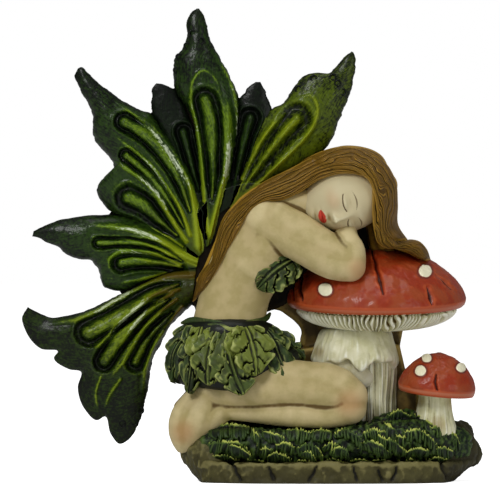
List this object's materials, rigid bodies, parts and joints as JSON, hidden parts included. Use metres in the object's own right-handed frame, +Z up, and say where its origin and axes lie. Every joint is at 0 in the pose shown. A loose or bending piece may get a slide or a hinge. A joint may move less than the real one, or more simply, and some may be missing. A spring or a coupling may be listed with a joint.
{
  "type": "figurine fridge magnet",
  "caption": "Flat-backed cast resin fridge magnet: a leaf-winged fairy asleep against a red toadstool on a mossy rock.",
  "frame": {"origin": "centre of the magnet's outer face, which is the face that meets the refrigerator door", "axes": "+X to the viewer's right, +Y out of the flat back towards the door, +Z up; the figure faces -Y"},
  "size_m": [0.0732, 0.0182, 0.0757],
  "materials": {
    "painted_resin": "hand-painted cold-cast resin with a dark wash and a satin varnish",
    "ferrite": "bare sintered ferrite, dark grey and matte"
  },
  "bodies": {
    "root": {"fairy_casting": "painted_resin", "disc_magnet": "ferrite"}
  },
  "joints": []
}
